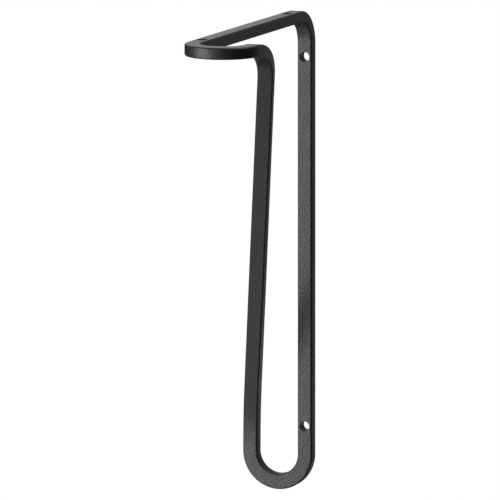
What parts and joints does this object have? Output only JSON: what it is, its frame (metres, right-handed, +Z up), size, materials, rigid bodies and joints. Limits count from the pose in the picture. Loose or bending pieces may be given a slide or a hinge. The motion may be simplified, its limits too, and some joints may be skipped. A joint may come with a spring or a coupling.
{
  "type": "shelf bracket",
  "caption": "Shelf bracket bent from one flat steel bar into a closed loop: a wall leg, a level arm for the shelf and a slanted, twisted strut, with plain screw holes.",
  "frame": {"origin": "midway between the two wall holes, on the wall's surface at the back of the wall leg", "axes": "+X to the right facing the wall, +Y into the wall, +Z up towards the shelf; the arm runs out from the wall along -Y"},
  "size_m": [0.0813, 0.2, 0.3],
  "materials": {
    "bracket": "black powder coat with a fine matt texture"
  },
  "bodies": {
    "root": {"bracket": "bracket"}
  },
  "joints": []
}
